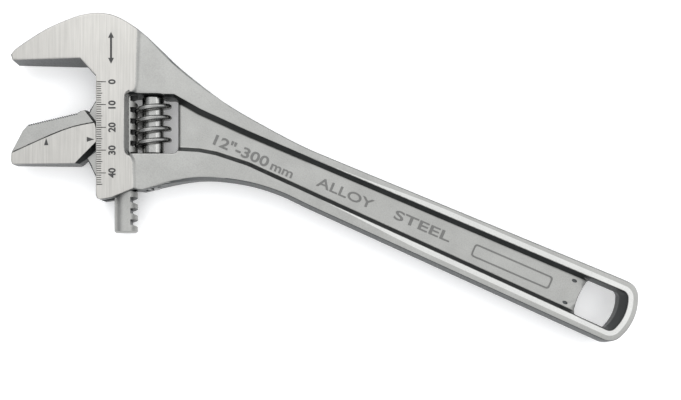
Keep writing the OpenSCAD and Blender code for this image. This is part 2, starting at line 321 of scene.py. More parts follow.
def steel(name, colour, rough, grain, turn=0.0, stretch=(1, 1, 1), depth=0.3, spread=0.1,
          bump=0.02, cloud=0.0):
    """Steel with a fine grain: turn and stretch make the grain run in lines, spread is how
    much the grain changes the colour, depth how much it changes the gloss and cloud how
    much larger patches darken it."""
    mat = bpy.data.materials.new(name)
    mat.use_nodes = True
    tree = mat.node_tree
    skin = tree.nodes["Principled BSDF"]
    skin.inputs["Metallic"].default_value = 1.0
    where = tree.nodes.new("ShaderNodeTexCoord")
    lay = tree.nodes.new("ShaderNodeMapping")
    lay.inputs["Scale"].default_value = stretch
    spin = tree.nodes.new("ShaderNodeVectorRotate")
    spin.rotation_type = "Z_AXIS"
    spin.inputs["Angle"].default_value = -turn
    noise = tree.nodes.new("ShaderNodeTexNoise")
    noise.inputs["Scale"].default_value = grain
    noise.inputs["Detail"].default_value = GRAIN_DETAIL
    tree.links.new(where.outputs["Object"], spin.inputs["Vector"])
    tree.links.new(spin.outputs["Vector"], lay.inputs["Vector"])
    tree.links.new(lay.outputs["Vector"], noise.inputs["Vector"])
    tone = tree.nodes.new("ShaderNodeValToRGB")
    for stop, at, k in ((0, NOISE_LOW, 1 - spread), (1, NOISE_HIGH, 1 + spread)):
        tone.color_ramp.elements[stop].position = at
        tone.color_ramp.elements[stop].color = tuple(min(1, c * k) for c in colour) + (1,)
    tree.links.new(noise.outputs["Fac"], tone.inputs["Fac"])
    patch = tree.nodes.new("ShaderNodeTexNoise")
    patch.inputs["Scale"].default_value = CLOUD_SCALE
    patch.inputs["Detail"].default_value = CLOUD_DETAIL
    tree.links.new(where.outputs["Object"], patch.inputs["Vector"])
    shift = tree.nodes.new("ShaderNodeMapRange")
    shift.inputs["From Min"].default_value = NOISE_LOW
    shift.inputs["From Max"].default_value = NOISE_HIGH
    shift.inputs["To Min"].default_value = 1 - cloud
    tree.links.new(patch.outputs["Fac"], shift.inputs["Value"])
    blend = tree.nodes.new("ShaderNodeMix")
    blend.data_type, blend.blend_type = "RGBA", "MULTIPLY"
    blend.inputs["Factor"].default_value = 1.0
    tree.links.new(tone.outputs["Color"], blend.inputs["A"])
    tree.links.new(shift.outputs["Result"], blend.inputs["B"])
    tree.links.new(blend.outputs["Result"], skin.inputs["Base Color"])
    gloss = tree.nodes.new("ShaderNodeMapRange")
    gloss.inputs["From Min"].default_value = NOISE_LOW
    gloss.inputs["From Max"].default_value = NOISE_HIGH
    gloss.inputs["To Min"].default_value = rough * (1 - depth)
    gloss.inputs["To Max"].default_value = min(1, rough * (1 + depth))
    tree.links.new(noise.outputs["Fac"], gloss.inputs["Value"])
    tree.links.new(gloss.outputs["Result"], skin.inputs["Roughness"])
    relief = tree.nodes.new("ShaderNodeBump")
    relief.inputs["Strength"].default_value = bump
    relief.inputs["Distance"].default_value = RELIEF_DEPTH_M
    tree.links.new(noise.outputs["Fac"], relief.inputs["Height"])
    tree.links.new(relief.outputs["Normal"], skin.inputs["Normal"])
    return mat


brushed_chrome = steel("brushed_chrome", (0.43, 0.421, 0.40), 0.36, 1.0, HEAD_TURN,
                       (1500, 45, 400), depth=0.2, spread=0.12, bump=0.10, cloud=0.06)
satin_chrome = steel("satin_chrome", (0.36, 0.36, 0.347), 0.44, 1800, depth=0.15, spread=0.1,
                     bump=0.25, cloud=0.12)
# a brighter copy of the satin chrome, a painted highlight along the rims' inner edges
rim_painted_highlight = steel("rim_painted_highlight", (0.54, 0.54, 0.525), 0.32, 1600, depth=0.15, spread=0.06,
                   bump=0.08, cloud=0.05)
# dark steel, painted shade on steep sides, side walls, bores, slots and edges, where a real face
# would be in shade
painted_shade_steel = steel("painted_shade_steel", (0.072, 0.076, 0.077), 0.42, 1500, depth=0.2, spread=0.1,
                    bump=0.1)
finishes_and_painted_light = (brushed_chrome, satin_chrome, rim_painted_highlight, painted_shade_steel)

jaw_back = [at_head(*p) for p in (
    (-38.6, 0.6), (-38.4, 2.4), (-35.9, 5.1), (-30.1, 8.8), (-22.2, 13.3), (-13.9, 16.7),
    (-6.05, 19.1))]
neck_top = [at_head(*p) for p in (
    (1.8, 19.9), (9.7, 18.1), (19.7, 11.9), (27.7, 4.7), (38.2, -4.8), (56.9, -18.4), (73, -27.9))]
neck_low = [at_head(*p) for p in (
    (81.5, -59.9), (69.5, -56), (58.5, -54), (48.9, -53.2), (40.7, -53.6), (30.2, -55.3),
    (18.8, -58))]
head_foot = [at_head(*p) for p in (
    (16.4, -57.3), (6.8, -61.2), (1.6, -62), (0.4, -61.5), (0, -60.2))]
machined_edge = [at_head(*p) for p in ((0, -60.2), (0, -7.6), (-6.9, 0), (-37.6, 0))]
outline = (
    smooth_run(jaw_back + neck_top + [(98, NECK_SIDE), (NECK_END, NECK_SIDE),
                                      (HANDLE_START, HANDLE_SIDE)], CURVE_STEPS)
    + [(NECK_END, NECK_SIDE)]
    + crowned_end(HANDLE_END, END_HALF, END_CROWN, END_CORNER)
    + smooth_run([(HANDLE_START, -HANDLE_SIDE), (NECK_END, -NECK_SIDE)] + neck_low
                 + [at_head(10, -60)], CURVE_STEPS)
    + head_foot + machined_edge[1:])
outline = spaced(outline, COARSE)[::-1]

PLATE_ROUND, WINDOW_ROUND = 1.6, 2.0
plate_edge = [at_head(*p) for p in (
    (19.2, 26), (18.07, 11.45), (17.4, -10.9), (16.75, -13.8), (12.4, -16.5), (12.2, -28),
    (12.1, -39.8), (16.05, -45), (16.3, -56.5), (16.4, -72))]
plate_edge = spaced(rounded(plate_edge, PLATE_ROUND, closed=False), FINE, closed=False)
window = [at_head(*p) for p in rounded([
    (WINDOW_LEFT, WINDOW_LOW), (WINDOW_RIGHT, WINDOW_LOW), (WINDOW_RIGHT, -16.8), (29.8, -16.2),
    (28.4, WINDOW_TOP), (WINDOW_LEFT, WINDOW_TOP)], WINDOW_ROUND, steps=7)]
window = spaced(window, FINE)
recess = ([at_head(*p) for p in ((30, -16), (34, -16), (45.5, -22.5), (66, -31.8))]
          + crowned_end(HANDLE_END - RIM, END_HALF - RIM, RECESS_CROWN, RECESS_CORNER)
          + [at_head(*p) for p in ((66.5, -46.6), (52.5, -42), (45, -40.6), (34, -40), (30, -40))])
# a round of no size at its second corner runs the lines beside the recess through it
recess = rounded(recess[:3], 0, closed=False) + recess[3:]
recess = spaced(recess, COARSE, closed=False)[::-1]
hole_top = END_HALF - RIM - HOLE_INSET
hole_turn = math.degrees(math.asin(hole_top / HOLE_CURVE))
hole = (crowned_end(HANDLE_END - RIM - HOLE_INSET, hole_top, RECESS_CROWN - HOLE_INSET,
                    RECESS_CORNER - HOLE_INSET)
        + arc((HOLE_LEFT + HOLE_CURVE, 0), HOLE_CURVE, 180 + hole_turn, 180 - hole_turn, 16))
hole = spaced(hole, FINE)[::-1]

# a painted highlight: the rim is painted brighter along the recess, on a band that widens down the
# handle
HIGHLIGHT_START, HIGHLIGHT_FULL, HIGHLIGHT_NARROW, HIGHLIGHT_WIDE = 112, 170, 0.6, 2.7
highlight_edge = [tuple(np.array(a) + ease((a[0] - HIGHLIGHT_START) / (HIGHLIGHT_FULL - HIGHLIGHT_START))
                     * (np.array(b) - np.array(a)))
               for a, b in zip(beside(recess, -HIGHLIGHT_NARROW, False),
                               beside(recess, -HIGHLIGHT_WIDE, False))]

# half the thickness along the fixed jaw and along the neck and handle
JAW_TAPER = ((-38.6, -6.9), (5.3, PLATE_HALF))
NECK_TAPER = ((17, 45, 100, HANDLE_END), (NECK_HALF, NECK_HALF, 6.5, 6.2))
STEP_BEFORE, STEP_WIDTH = 0.2, 2.0
# each edge's profile: distances from its line, and the drop, share of the drop or height
HANDLE_EDGE = ((0, 0.9, 1.05, 1.3, 1.7), (1.0, 1.0, 0.45, 0.12, 0.0))
RECESS_WALL = ((-0.6, -0.42, -0.25, 1.5, 1.8, 2.3), (0, 0.03, 0.09, 0.9, 0.975, 1))
HOLE_WALL = ((-0.6, -0.42, -0.25, 0.7), (0, 0.03, 0.09, 1))
WINDOW_SLOPE = ((0, 1.45, 1.6, 1.8), (6.65, 8.42, 8.57, PLATE_HALF))
HOLE_WALL_SHARE, STEEP_START, STEEP_OVER = 0.97, 237, 5
WEB_END, WEB_INSIDE, WEB_ROUND = 244, 1.5, 0.5
SLOPE_REACH, WINDOW_MID, WINDOW_EDGE_ROUND, RECESS_EDGE_ROUND = 0.6, -28, 0.6, 1.6
WINDOW_TOP_ROUND = ((14, 27), (1.7, 0.7))
EDGE_REACH, FORGED_ROUND, FORGED_INSET, CHAMFER = 1.75, 0.7, 0.03, 0.25
DRAFT_START, DRAFT_OVER, PARTING, PARTING_REACH = 22, 40, 0.2, 0.9


def head_uv(xy):
    """Places in the handle's directions, as across and along the slide."""
    x, y = xy[:, 0], xy[:, 1] - HEAD_CORNER_Y
    c, s = math.cos(HEAD_TURN), math.sin(HEAD_TURN)
    return x * c + y * s, -x * s + y * c


def forging_height(xy):
    """Half the forging's thickness at each place."""
    u, v = head_uv(xy)
    plate = np.interp(u, *JAW_TAPER)
    neck = np.interp(u, *NECK_TAPER)
    d, side = reach(plate_edge, xy, closed=False)
    step = ease((d * side + STEP_BEFORE) / STEP_WIDTH)
    top = plate * (1 - step) + neck * step
    # the recess and its walls, steep at the hang hole
    d, _ = reach(recess, xy, closed=False)
    s = np.where(inside(recess, xy), d, -d)
    shallow = top - (top - WEB_HALF) * np.interp(s, *RECESS_WALL)
    steep = top * (1 - HOLE_WALL_SHARE * np.interp(s, *HOLE_WALL))
    z = shallow + (steep - shallow) * ease((xy[:, 0] - STEEP_START) / STEEP_OVER)
    hole_d, _ = reach(hole, xy)
    on_web = (xy[:, 0] < WEB_END) & (s > WEB_INSIDE)
    z = np.where(on_web, z - round_over(hole_d, WEB_ROUND), z)
    # the window's edges: its left one is a slope, the others are rounded over
    d, _ = reach(window, xy)
    slope = u < WINDOW_LEFT + SLOPE_REACH
    z = np.where(slope, np.minimum(z, np.interp(d, *WINDOW_SLOPE)), z)
    soft = np.where(v > WINDOW_MID, np.interp(u, *WINDOW_TOP_ROUND), WINDOW_EDGE_ROUND)
    soft = np.where((s > 0) & (u > WINDOW_RIGHT - 2), RECESS_EDGE_ROUND, soft)
    z = np.where(slope, z, z - round_over(d, soft))
    # the outer edge: rounded on the head, drafted to the parting line on the handle, and
    # chamfered where it is machined
    d, _ = reach(outline, xy)
    cut, _ = reach(machined_edge, xy, closed=False)
    forged = z - round_over(d + FORGED_INSET, FORGED_ROUND)
    drafted = np.maximum(z - np.interp(d, *HANDLE_EDGE), 0)
    drafted = np.where(d < PARTING_REACH, (drafted - PARTING) * d / PARTING_REACH + PARTING,
                       drafted)
    k = ease((u - DRAFT_START) / DRAFT_OVER)
    edge = forged * (1 - k) + drafted * k
    edge = np.where(d < EDGE_REACH, edge, z)
    return np.where(cut <= d + SAME_SPOT, z - np.maximum(CHAMFER - d, 0), edge)


PLATE_U, RIM_LINE, HIGHLIGHT_DELAY = 9, 0.5, 4


def forging_finish(mid):
    """Which finish each part of the forging has, with the painted highlight along the rims."""
    u, _ = head_uv(mid)
    _, side = reach(plate_edge, mid, closed=False)
    brushed = (side < 0) | (u < PLATE_U)
    recess_d, _ = reach(recess, mid, closed=False)
    rim = ~inside(recess, mid) & inside(highlight_edge, mid) & (recess_d > RIM_LINE)
    rim &= mid[:, 0] > HIGHLIGHT_START + HIGHLIGHT_DELAY
    return np.where(brushed, BRUSHED, np.where(rim, PAINTED_HIGHLIGHT, SATIN))


# how far beside each edge's line the mesh has lines of its own, to hold its profile
OUTLINE_ROWS = (0.07, 0.2, 0.42, 0.7, 0.9, 1.05, 1.3, 1.7)
PLATE_ROWS = (-0.2, 0.1, 0.45, 0.8, 1.15, 1.5, 1.8)
WINDOW_ROWS = (0.08, 0.2, 0.4, 0.7, 1.1, 1.45, 1.6, 1.8)
RECESS_ROWS = (-0.6, -0.42, -0.25, 0.1, 0.65, 1.5, 1.8, 2.3)
HOLE_ROWS = (0.08, 0.25, 0.5)
lines = [(beside(outline, d), True) for d in OUTLINE_ROWS]
lines += [(beside(plate_edge, d, False), False) for d in PLATE_ROWS]
lines += [(beside(window, -d), True) for d in WINDOW_ROWS]
lines += [(beside(recess, d, False), False) for d in RECESS_ROWS]
lines += [(beside(hole, -d), True) for d in HOLE_ROWS] + [(highlight_edge, False)]

forging = as_object("wrench_forging", forged_plan(outline, [window, hole], lines,
                                                  forging_height, forging_finish),
                    finishes_and_painted_light)

GUIDE_U, BORE_R, BORE_TOP, BELOW_HEAD = 12.0, 5.3, 9.5, -124
SLOT_HALF, SLOT_TOP, SLOT_OUT = 3.15, 1.9, -12
PIN_HOLE_R, PIN_HOLE_TOP, PIN_END_HOLE_R = 2.46, -9.1, 3.43
OVAL_X, OVAL_Y, OVAL_LENGTH, OVAL_WIDTH, OVAL_DEPTH, OVAL_STEPS = 233.8, 5.3, 2.5, 1.5, 0.5, 16


def head_tool(mesh):
    """A cutting or joining shape, given in the head's directions."""
    return as_object("tool", mesh, finishes_and_painted_light,
                     Matrix.Translation((0, HEAD_CORNER_Y, 0))
                     @ Matrix.Rotation(HEAD_TURN, 4, "Z"))


def bore(u, r, low, high):
    """A round bore along the slide."""
    mesh = turned([(r, low), (r, high)], "bore", PAINTED_SHADE)
    mesh.transform(Matrix.Translation((u, 0, 0)))
    return head_tool(mesh)


# every cut leaves its faces in the painted shade: the bores, the web's slot and the punched ovals
# are painted dark inside
web_slot = [(GUIDE_U, BELOW_HEAD), (GUIDE_U, SLOT_TOP), (-0.8, SLOT_TOP), (SLOT_OUT, -15.3),
            (SLOT_OUT, BELOW_HEAD)]
for tool in (bore(GUIDE_U, BORE_R, BELOW_HEAD, BORE_TOP),
             head_tool(slab(web_slot, SLOT_HALF, "web_slot", PAINTED_SHADE)),
             bore(WORM_U, PIN_HOLE_R, WINDOW_TOP - 1, PIN_HOLE_TOP),
             bore(WORM_U, PIN_END_HOLE_R, BELOW_HEAD, WINDOW_LOW + 1)):
    cut_or_join(forging, tool, "DIFFERENCE")
for side in (-1, 1):
    oval = [(OVAL_X + OVAL_LENGTH / 2 * math.cos(a), OVAL_Y * side + OVAL_WIDTH / 2 * math.sin(a))
            for a in np.linspace(0, 2 * math.pi, OVAL_STEPS + 1)[:-1]]
    punch = slab(oval, OVAL_DEPTH, "punch", PAINTED_SHADE)
    punch.transform(Matrix.Translation((0, 0, WEB_HALF)))
    cut_or_join(forging, as_object("tool", punch, finishes_and_painted_light), "DIFFERENCE")
forging.data.transform(IN_HANDLE)
shade(forging)
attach(forging, "frame")
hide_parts("wrench_body")

# ----------------------------------------
# The moving jaw: one forging with the web that runs in the head's slot and the round guide
# bar with its rack. One side is plain for nuts, the other is serrated for pipes, and a
# scribed line parts the brushed face from the satin pipe side. Drawn in the head's frame.
# ----------------------------------------
NUT_V, JAW_TOP_V, JAW_TIP = -46.0, -22.0, -38.6
JAW_TIP_HALF, JAW_FACE, JAW_FACE_U, JAW_GAP, WEB_GAP = 4.35, 7.0, -8, 2.5, 4.0
SERRATIONS, SERRATION_DEPTH = 22, 0.6
GUIDE_R, GUIDE_TOP, GUIDE_LOW, GUIDE_END_R, GUIDE_STEPS = 5.2, -9.5, -76.5, 4.5, 72
RACK_PITCH, RACK_FIRST, RACK_SLOTS, RACK_ROOT_U, RACK_LEAN = 5.0, -72.25, 13, 14.5, 5.9
RACK_MOUTH_HALF, RACK_ROOT_HALF, RACK_CUT_HALF = 1.5, 1.1, 10

nose, heel = np.array((-30.4, -28.4)), np.array((-8.1, -23.6))
teeth = []
for i in range(SERRATIONS):
    tip = nose + (heel - nose) * i / SERRATIONS
    middle = nose + (heel - nose) * (i + 0.5) / SERRATIONS
    teeth += [tuple(tip), tuple(middle - SERRATION_DEPTH * np.array((0.3, 1)))]
jaw_plan = ([(-38.1, NUT_V), (JAW_TIP, -44.4), (-38.4, -40.9), (-33, -31)] + teeth
            + [tuple(heel), (-4.7, JAW_TOP_V), (-0.15, -28), (-0.15, -39.8), (-0.8, -40.5),
               (-5.1, -43.7), (-8.1, NUT_V)])
jaw_plan = spaced(jaw_plan, JAW_GAP)[::-1]
scribed = smooth_run([(-52, -47), (-39.5, -41.4), (-38.3, -40.9), (-22.4, -34.1), (-11.4, -30.1),
                      (-1, -27.9), (1, -27.6), (4, -27)], 6)
lower_facet = [(-11.7, -48), (-1.9, -38.1), (2, -34.2)]
upper_facet = [(-4.7, JAW_TOP_V), (-0.15, -28)]
nut_face = [(-38.1, NUT_V), (-8.1, NUT_V)]

SCRIBED_HALF, SCRIBED_DEPTH, PIPE_SIDE_DROP = 0.3, 0.3, 0.08
LOWER_SLOPE, LOWER_FLOOR, LOWER_FACET_WIDTH = 2.4, 3.02, 1.65
UPPER_SLOPE, UPPER_FOOT, UPPER_FACET_WIDTH = 4.2, 3.2, 0.9
JAW_ROUND, JAW_INSET = 0.3, 0.02


def jaw_height(xy):
    """Half the jaw's thickness at each place."""
    z = np.interp(xy[:, 0], [JAW_TIP, JAW_FACE_U], [JAW_TIP_HALF, JAW_FACE])
    d, side = reach(scribed, xy, closed=False)
    z = z - SCRIBED_DEPTH * np.clip(1 - d / SCRIBED_HALF, 0, 1) - PIPE_SIDE_DROP * (side > 0)
    d, side = reach(lower_facet, xy, closed=False)
    z = np.where(side < 0, np.maximum(z - LOWER_SLOPE * d, LOWER_FLOOR), z)
    d, _ = reach(upper_facet, xy, closed=False)
    z = np.where(d < UPPER_FACET_WIDTH, np.minimum(z, UPPER_FOOT + UPPER_SLOPE * d), z)
    d, _ = reach(jaw_plan, xy)
    flat, _ = reach(nut_face, xy, closed=False)
    return z - np.where(flat <= d + SAME_SPOT, np.maximum(CHAMFER - d, 0),
                        round_over(d + JAW_INSET, JAW_ROUND))


# how far the painted shade reaches on the jaw's scribed line, lower and upper facets and serrated
# edge
SCRIBED_DARK, LOWER_DARK, UPPER_DARK, TEETH_DARK, TEETH_REACH = 0.2, 0.03, 0.85, 0.3, 1.0


def jaw_finish(mid):
    """Brushed below the scribed line and satin above it; the line, the two facets and the
    serrated edge take the painted shade."""
    d, side = reach(scribed, mid, closed=False)
    low_d, low_side = reach(lower_facet, mid, closed=False)
    up_d, _ = reach(upper_facet, mid, closed=False)
    edge_d, _ = reach(jaw_plan, mid)
    teeth_d, _ = reach([tuple(nose), tuple(heel)], mid, closed=False)
    dark = (d < SCRIBED_DARK) | ((low_side < 0) & (low_d > LOWER_DARK)) | (up_d < UPPER_DARK)
    dark |= (edge_d < TEETH_DARK) & (teeth_d < TEETH_REACH)
    return np.where(dark, PAINTED_SHADE, np.where(side > 0, SATIN, BRUSHED))


JAW_ROWS, SCRIBED_ROWS, UPPER_ROWS = (0.06, 0.15, 0.3), (-0.3, -0.15, 0, 0.15, 0.3), (0.85, 0.93)
lines = [(beside(jaw_plan, d), True) for d in JAW_ROWS]
lines += [(beside(scribed, d, False), False) for d in SCRIBED_ROWS]
lines += [(lower_facet, False), (beside(lower_facet, -LOWER_FACET_WIDTH, False), False)]
lines += [(beside(upper_facet, -d, False), False) for d in UPPER_ROWS]
jaw = as_object("moving_jaw", forged_plan(jaw_plan, [], lines, jaw_height, jaw_finish), finishes_and_painted_light)

JAW_WEB_HALF, WEB_LOW, WEB_TOP, WEB_DARK, WEB_ROWS = 3.0, -51.5, -17.1, 0.5, (0.1, 0.3, 0.7)
web_plan = spaced([(-9, -40), (-4.9, -43.8), (-1.2, WEB_LOW), (GUIDE_U, WEB_LOW),
                   (GUIDE_U, WEB_TOP), (-0.8, WEB_TOP), (-3.6, -21.4), (-9, -34)], WEB_GAP)


def web_height(xy):
    """Half the web's thickness at each place."""
    d, _ = reach(web_plan, xy)
    return JAW_WEB_HALF - round_over(d + FORGED_INSET, FORGED_ROUND)


def web_finish(mid):
    """Satin, with painted shade on its edges."""
    d, _ = reach(web_plan, mid)
    return np.where(d < WEB_DARK, PAINTED_SHADE, SATIN)


web = as_object("web", forged_plan(web_plan, [], [(beside(web_plan, d), True) for d in WEB_ROWS],
                                   web_height, web_finish), finishes_and_painted_light)
cut_or_join(jaw, web, "UNION")
bar = turned([(GUIDE_END_R, GUIDE_LOW), (GUIDE_R, GUIDE_LOW + 0.6), (GUIDE_R, GUIDE_TOP - 0.7),
              (GUIDE_END_R, GUIDE_TOP)], "bar", SATIN, GUIDE_STEPS)
bar.transform(Matrix.Translation((GUIDE_U, 0, 0)))
bar = as_object("bar", bar, finishes_and_painted_light)


def node_link(tree, a, out, b, into):
    """Links one node's output to another's input, by their names."""
    tree.links.new(a.outputs[out], b.inputs[into])


def tree_with(name, sockets):
    """A geometry tree with named inputs, its own input and output nodes, and its shape in and
    out."""
    tree = bpy.data.node_groups.new(name, "GeometryNodeTree")
    tree.interface.new_socket("Shape", in_out="OUTPUT", socket_type="NodeSocketGeometry")
    tree.interface.new_socket("Shape", in_out="INPUT", socket_type="NodeSocketGeometry")
    for label, kind in sockets:
        tree.interface.new_socket(label, in_out="INPUT", socket_type="NodeSocket" + kind)
    return tree, tree.nodes.new("NodeGroupInput"), tree.nodes.new("NodeGroupOutput")


def finish_tree(tree, node, out, given, end):
    """Ends a tree in Realize Instances and Set Material."""
    real = tree.nodes.new("GeometryNodeRealizeInstances")
    paint = tree.nodes.new("GeometryNodeSetMaterial")
    node_link(tree, node, out, real, "Geometry")
    node_link(tree, real, "Geometry", paint, "Geometry")
    node_link(tree, given, "Material", paint, "Material")
    node_link(tree, paint, "Geometry", end, "Shape")


row_tree, given, end = tree_with("row_along_slide", [
    ("Count", "Int"), ("Spacing", "Float"), ("Material", "Material")])
step_vector = row_tree.nodes.new("ShaderNodeCombineXYZ")
row_line = row_tree.nodes.new("GeometryNodeMeshLine")
row_copies = row_tree.nodes.new("GeometryNodeInstanceOnPoints")
node_link(row_tree, given, "Spacing", step_vector, "Y")
node_link(row_tree, given, "Count", row_line, "Count")
node_link(row_tree, step_vector, "Vector", row_line, "Offset")
node_link(row_tree, row_line, "Mesh", row_copies, "Points")
node_link(row_tree, given, "Shape", row_copies, "Instance")
finish_tree(row_tree, row_copies, "Instances", given, end)


def grown(name, mesh, tree, values):
    """Runs a tree on a mesh with the named values, and keeps the result as a plain mesh."""
    obj = as_object(name, mesh)
    step = obj.modifiers.new("grow", "NODES")
    step.node_group = tree
    for item in tree.interface.items_tree:
        if item.in_out == "INPUT" and item.name in values:
            step[item.identifier] = values[item.name]
    settle(obj)
    obj.data.materials.clear()
    obj.data.materials.append(values["Material"])
    return obj


rack_depth = GUIDE_U + GUIDE_R - RACK_ROOT_U
slot_side = [(0, RACK_ROOT_HALF), (rack_depth, RACK_MOUTH_HALF), (rack_depth + 1, RACK_MOUTH_HALF)]
slot_plan = [(u, -half) for u, half in slot_side] + slot_side[::-1]
rack_slot = slab(slot_plan, RACK_CUT_HALF, "rack_slot")
rack_slot.transform(Matrix.Translation((RACK_ROOT_U, RACK_FIRST, 0))
                    @ Matrix.Rotation(math.radians(-RACK_LEAN), 4, "X"))
# the rack's slots are painted dark inside, as painted shade
rack = grown("rack", rack_slot, row_tree, {"Count": RACK_SLOTS, "Spacing": RACK_PITCH,
                                           "Material": painted_shade_steel})
cut_or_join(bar, rack, "DIFFERENCE")
cut_or_join(jaw, bar, "UNION")
jaw.data.transform(IN_HEAD)
shade(jaw)
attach(jaw, "jaw")
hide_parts("sliding_jaw")

# ----------------------------------------
# The worm: turned from bar with a coarse single-start thread whose crests are rounded for
# the thumb, polished, bored for its pin and counterbored at the top for its spring.
# ----------------------------------------
CORE_R, WORM_BORE_R, SPRING_BORE_R, SPRING_LENGTH = 4.9, 2.46, 3.7, 5.6
LOW_CHAMFER, TOP_CHAMFER, CORE_STEPS, BORE_STEPS = 0.6, 0.8, 80, 48
THREAD_TURNS, LEAD, THREAD_R, THREAD_STEPS, THREAD_FADE = 4.3, 5.0, 8.42, 300, 0.04
THREAD_HALF, THREAD_ROOT_HALF, ROOT_FLARE, PATH_R = 1.1, 1.45, 0.05, 4.6
HALF_WORM = WORM_LENGTH / 2
COIL_MERGE = 0.0005

polished_steel = steel("polished_steel", (0.34, 0.34, 0.33), 0.22, 1200, depth=0.2, spread=0.08,
                       bump=0.02)
# a darker copy of the worm's steel for its thread, painted shade on the crests and flanks
thread_steel_painted_shade = steel("thread_steel_painted_shade", (0.27, 0.27, 0.262), 0.27, 1200, depth=0.25, spread=0.08,
                     bump=0.05)

# a straight rib, one unit long, is wound round the slide's direction; its section's y is
# along the slide and its z outwards, and it shrinks onto its path at both ends
coil_tree, given, end = tree_with("coil_along_slide", [
    ("Turns", "Float"), ("Lead", "Float"), ("Path Radius", "Float"), ("Fade", "Float"),
    ("Material", "Material")])
spot = coil_tree.nodes.new("GeometryNodeInputPosition")
parts = coil_tree.nodes.new("ShaderNodeSeparateXYZ")
node_link(coil_tree, spot, "Position", parts, "Vector")


def coil(operation, *inputs):
    """A math node in the coil's tree; each input is a number or (node, output)."""
    node = coil_tree.nodes.new("ShaderNodeMath")
    node.operation = operation
    for i, source in enumerate(inputs):
        if isinstance(source, tuple):
            coil_tree.links.new(source[0].outputs[source[1]], node.inputs[i])
        else:
            node.inputs[i].default_value = source
    return (node, 0)


along = (parts, "X")
angle = coil("MULTIPLY", coil("MULTIPLY", coil("SUBTRACT", along, 0.5), (given, "Turns")),
             2 * math.pi)
rise = coil("MULTIPLY", coil("DIVIDE", angle, 2 * math.pi), (given, "Lead"))
ends = coil("MINIMUM", along, coil("SUBTRACT", 1.0, along))
fade = coil("MINIMUM", coil("DIVIDE", ends, (given, "Fade")), 1.0)
fade = coil("SQRT", coil("MULTIPLY", fade, coil("SUBTRACT", 2.0, fade)))
radius = coil("ADD", (given, "Path Radius"), coil("MULTIPLY", (parts, "Z"), fade))
across = coil("MULTIPLY", coil("MULTIPLY", radius, coil("SINE", angle)), -1.0)
upwards = coil("MULTIPLY", coil("MULTIPLY", radius, coil("COSINE", angle)), -1.0)
slid = coil("ADD", rise, coil("MULTIPLY", (parts, "Y"), fade))
place = coil_tree.nodes.new("ShaderNodeCombineXYZ")
for axis, source in (("X", across), ("Y", slid), ("Z", upwards)):
    coil_tree.links.new(source[0].outputs[0], place.inputs[axis])
wind = coil_tree.nodes.new("GeometryNodeSetPosition")
close = coil_tree.nodes.new("GeometryNodeMergeByDistance")
close.inputs["Distance"].default_value = COIL_MERGE
node_link(coil_tree, given, "Shape", wind, "Geometry")
node_link(coil_tree, place, "Vector", wind, "Position")
node_link(coil_tree, wind, "Geometry", close, "Geometry")
finish_tree(coil_tree, close, "Geometry", given, end)


def wound(name, section, long, values):
    """A coil wound from a rib of this section, given as (along the slide, outwards)."""
    wide = len(section)
    verts = [(i / long, y, z) for i in range(long + 1) for y, z in section]
    faces = [(i * wide + j, i * wide + (j + 1) % wide, (i + 1) * wide + (j + 1) % wide,
              (i + 1) * wide + j) for i in range(long) for j in range(wide)]
    rib = bpy.data.meshes.new(name)
    rib.from_pydata(verts, [], faces)
    obj = grown(name, rib, coil_tree, values)
    skin = bmesh.new()
    skin.from_mesh(obj.data)
    bmesh.ops.recalc_face_normals(skin, faces=skin.faces)
    skin.to_mesh(obj.data)
    skin.free()
    return obj


crest_z = THREAD_R - THREAD_HALF - PATH_R
flank = [(THREAD_HALF + ROOT_FLARE, 0.9), (THREAD_ROOT_HALF, 0.3), (THREAD_ROOT_HALF, -0.4)]
thread_section = (arc((0, crest_z), THREAD_HALF, -10, 190, 14)
                  + [(-along_slide, out) for along_slide, out in flank] + flank[::-1])
thread = wound("thread", thread_section, THREAD_STEPS, {
    "Turns": THREAD_TURNS, "Lead": LEAD, "Path Radius": PATH_R, "Fade": THREAD_FADE,
    "Material": thread_steel_painted_shade})
core_profile = [(CORE_R - LOW_CHAMFER, -HALF_WORM), (CORE_R, LOW_CHAMFER - HALF_WORM),
                (CORE_R, HALF_WORM - TOP_CHAMFER), (CORE_R - TOP_CHAMFER, HALF_WORM)]
worm = as_object("thumb_worm", turned(core_profile, "core", 0, CORE_STEPS), (polished_steel,))
for r, low, high in ((WORM_BORE_R, -HALF_WORM - 1, HALF_WORM + 1),
                     (SPRING_BORE_R, HALF_WORM - SPRING_LENGTH, HALF_WORM + 1)):
    cut_or_join(worm, as_object("tool", turned([(r, low), (r, high)], "bore", 0, BORE_STEPS),
                                (polished_steel,)), "DIFFERENCE")


def merged(name, objects):
    """One mesh from several objects, which it removes."""
    whole = bmesh.new()
    for obj in objects:
        whole.from_mesh(obj.data)
        bpy.data.objects.remove(obj)
    mesh = bpy.data.meshes.new(name)
    whole.to_mesh(mesh)
    whole.free()
    return mesh


# the thread's root is sunk in the core, and its faces take the second steel, the darker copy
# painted as shade
thread.data.polygons.foreach_set("material_index", [1] * len(thread.data.polygons))
worm = as_object("thumb_worm", merged("thumb_worm", [thread, worm]),
                 (polished_steel, thread_steel_painted_shade))
worm.data.polygons.foreach_set("use_smooth", [True] * len(worm.data.polygons))
worm.data.set_sharp_from_angle(angle=math.radians(40))
AT_WORM = IN_HEAD @ Matrix.Translation((WORM_U, WORM_V, 0))
worm.data.transform(AT_WORM)
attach(worm, "knurl")
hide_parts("worm")

